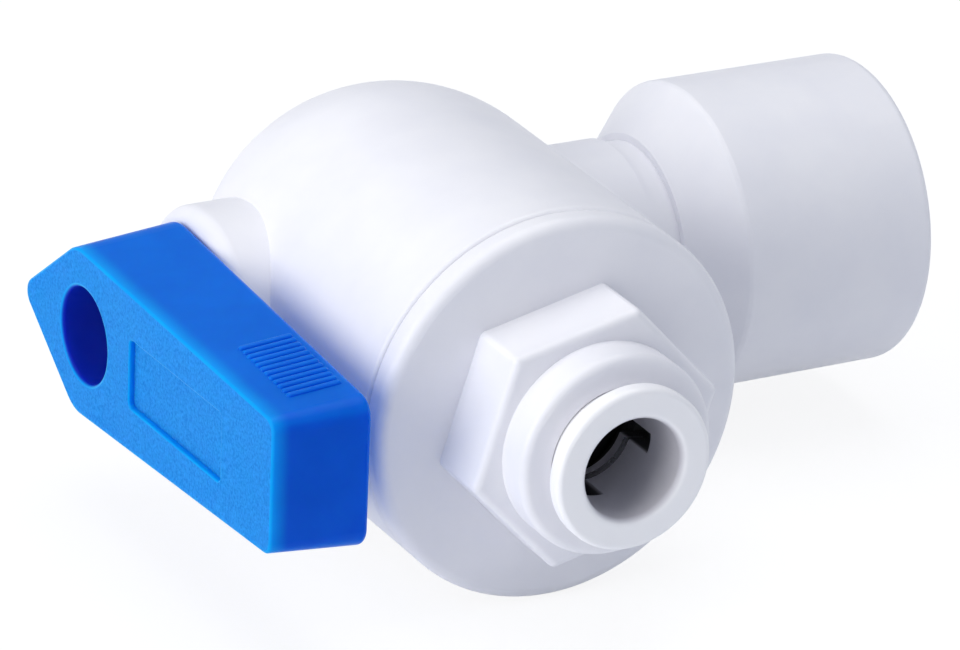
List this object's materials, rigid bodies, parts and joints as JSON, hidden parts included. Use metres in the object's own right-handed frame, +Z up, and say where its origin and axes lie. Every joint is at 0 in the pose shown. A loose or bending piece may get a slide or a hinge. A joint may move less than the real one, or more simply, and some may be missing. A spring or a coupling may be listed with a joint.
{
  "type": "storage tank valve",
  "caption": "Right-angle quarter-turn ball valve for a pressure tank: female threaded tank port, push-in tube outlet with release collet, and a flat blue lever.",
  "frame": {"origin": "centre of the tank port's mouth", "axes": "+X out of the tank port, -Y out of the tube outlet, +Z up as the valve lies in the picture; the lever is on the -X side and points along -Y when open"},
  "size_m": [0.057, 0.0445, 0.0258],
  "materials": {
    "white_plastic": "moulded white, soft sheen",
    "collet_plastic": "moulded white, soft sheen",
    "blue_plastic": "fine matte grain, slightly translucent",
    "ball_plastic": "smooth",
    "seat_plastic": "waxy",
    "seal_rubber": "black, slightly greased",
    "screw_steel": "bright",
    "tooth_steel": "bright"
  },
  "bodies": {
    "valve": {"valve_body": "white_plastic", "outlet_bonnet": "white_plastic", "bonnet_o_ring": "seal_rubber", "front_seat": "seat_plastic", "rear_seat": "seat_plastic", "stem_washer": "seat_plastic", "tube_o_ring": "seal_rubber"},
    "lever": {"lever": "blue_plastic", "lever_screw": "screw_steel", "stem": "ball_plastic", "stem_o_ring_inner": "seal_rubber", "stem_o_ring_outer": "seal_rubber", "ball": "ball_plastic"},
    "collet": {"collet": "collet_plastic", "grip_teeth": "tooth_steel"}
  },
  "joints": [
    {"name": "lever_turn", "type": "hinge", "parent": "valve", "child": "lever", "pos_m": [-0.03445, 0, 0], "axis": [-1, 0, 0], "range_deg": [0, 90]},
    {"name": "collet_press", "type": "slide", "parent": "valve", "child": "collet", "axis": [0, 1, 0], "range_m": [0, 0.001]}
  ]
}
